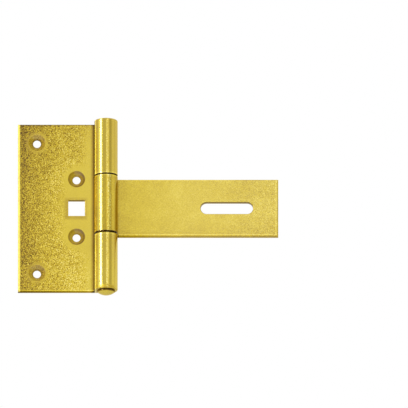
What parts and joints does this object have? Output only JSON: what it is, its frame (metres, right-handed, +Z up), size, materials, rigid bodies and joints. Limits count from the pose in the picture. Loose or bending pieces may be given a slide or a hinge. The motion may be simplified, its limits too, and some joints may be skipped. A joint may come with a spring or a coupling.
{
  "type": "gate hasp hinge",
  "caption": "Flat steel leaf and slotted strap joined by a rolled barrel and pin, so a gate or lid swings or is hasped shut over a staple.",
  "frame": {"origin": "centre of the leaf's square bolt hole, on the back face", "axes": "+Z up along the pin, +X from the leaf to the strap's free end, +Y from the back face into the wall"},
  "size_m": [0.15, 0.0135, 0.1057],
  "materials": {
    "leaf_plating": "yellow zinc passivate, mottled",
    "strap_plating": "yellow zinc passivate, satin",
    "pin_plating": "yellow zinc passivate, peened"
  },
  "bodies": {
    "leaf": {"leaf": "leaf_plating", "pin": "pin_plating"},
    "strap": {"strap": "strap_plating"}
  },
  "joints": [
    {"name": "strap_hinge", "type": "hinge", "parent": "leaf", "child": "strap", "pos_m": [0.017, -0.00675, 0], "axis": [0, 0, -1], "range_deg": [-80, 180]}
  ]
}
